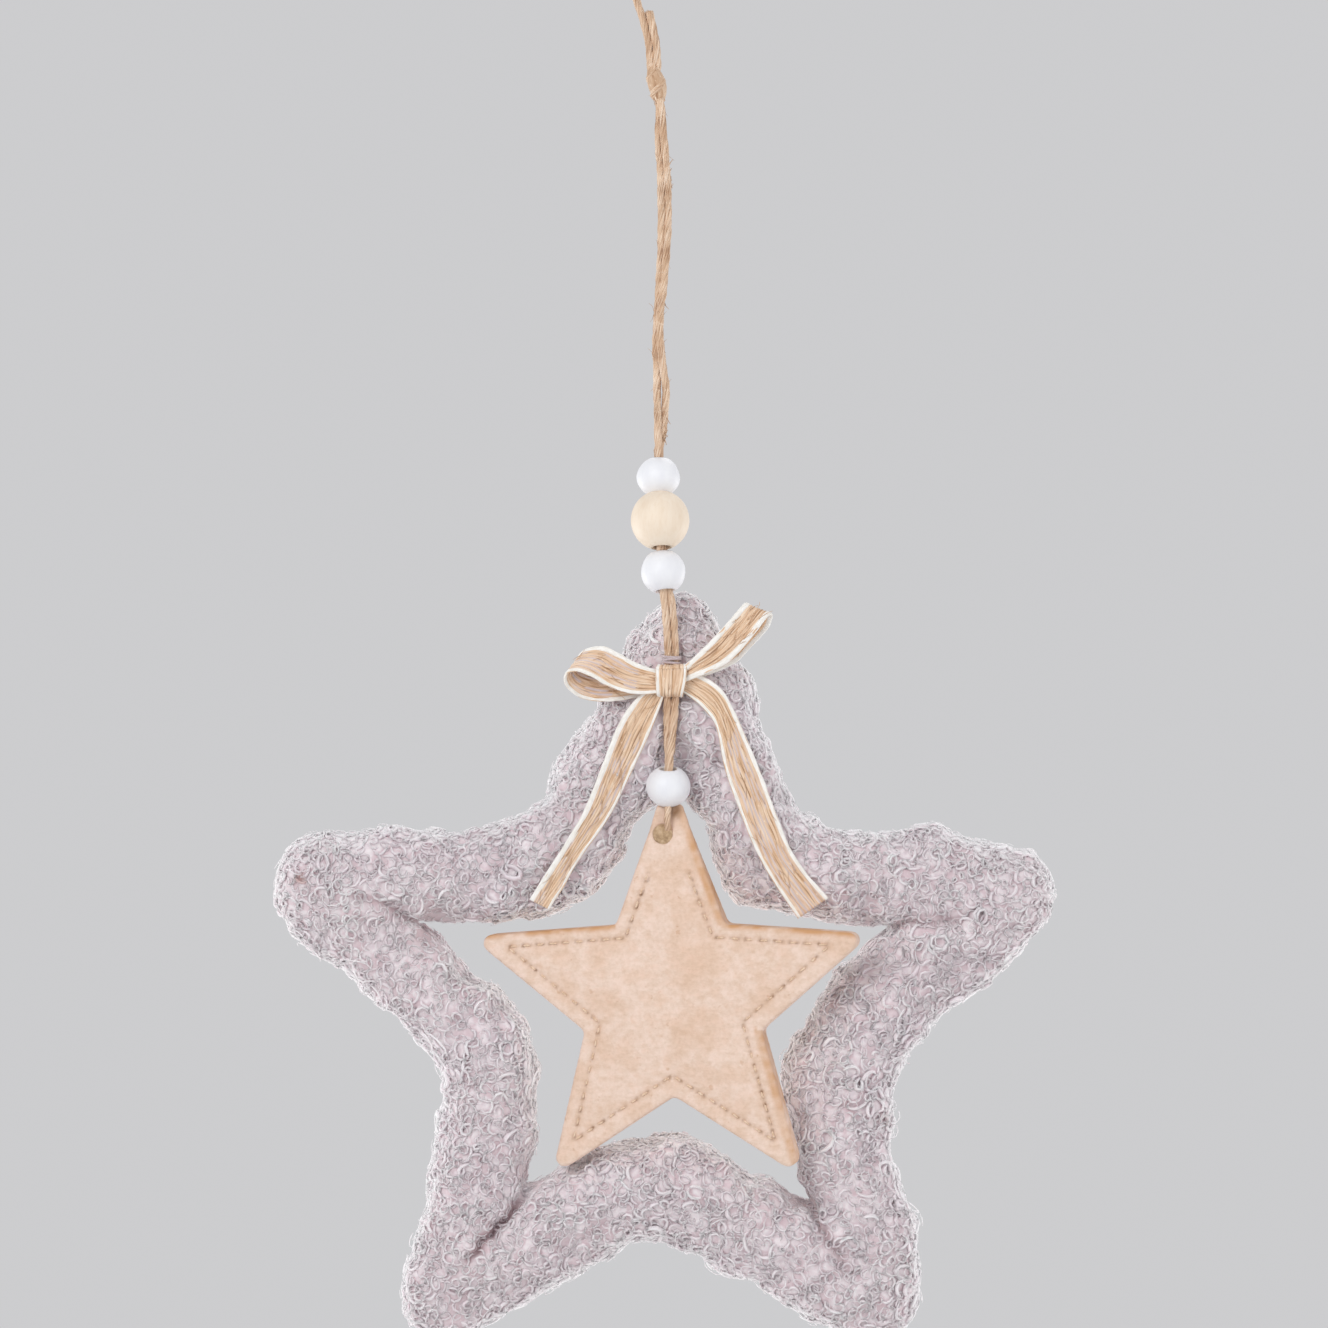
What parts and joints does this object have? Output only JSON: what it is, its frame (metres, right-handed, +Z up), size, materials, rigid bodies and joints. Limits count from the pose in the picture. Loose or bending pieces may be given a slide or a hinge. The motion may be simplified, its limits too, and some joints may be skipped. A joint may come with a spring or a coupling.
{
  "type": "christmas ornament",
  "caption": "Curly fleece star ring with a stitched leather star hung inside it, on jute twine with wooden beads and a ribbon bow, made to hang from a loop.",
  "frame": {"origin": "The point where a hook bears under the top of the hanging loop, on the twine's line.", "axes": "+Z up along the hanging twine; +X to the right as seen from the front; +Y away from the viewer, so the front faces -Y."},
  "size_m": [0.2133, 0.0419, 0.4022],
  "materials": {
    "fleece": "curly boucle pile",
    "leather": "matt suede-like grain with stitched edge",
    "white_paint": "satin white paint on wood",
    "bare_wood": "sanded, bare",
    "jute": "twisted two-ply twine",
    "thread": "thin mauve thread",
    "jute_ribbon": "open jute weave with ivory cotton edges"
  },
  "bodies": {
    "root": {"fleece_star_frame": "fleece", "leather_star": "leather", "bead_white_top": "white_paint", "bead_natural": "bare_wood", "bead_white_middle": "white_paint", "bead_white_lower": "white_paint", "twine_main": "jute", "upper_knot": "jute", "twine_tail": "jute", "twine_hanger": "jute", "loop_knot": "jute", "twine_loop": "jute", "twine_eye": "jute", "thread_tie": "thread", "ribbon_bow": "jute_ribbon"}
  },
  "joints": []
}
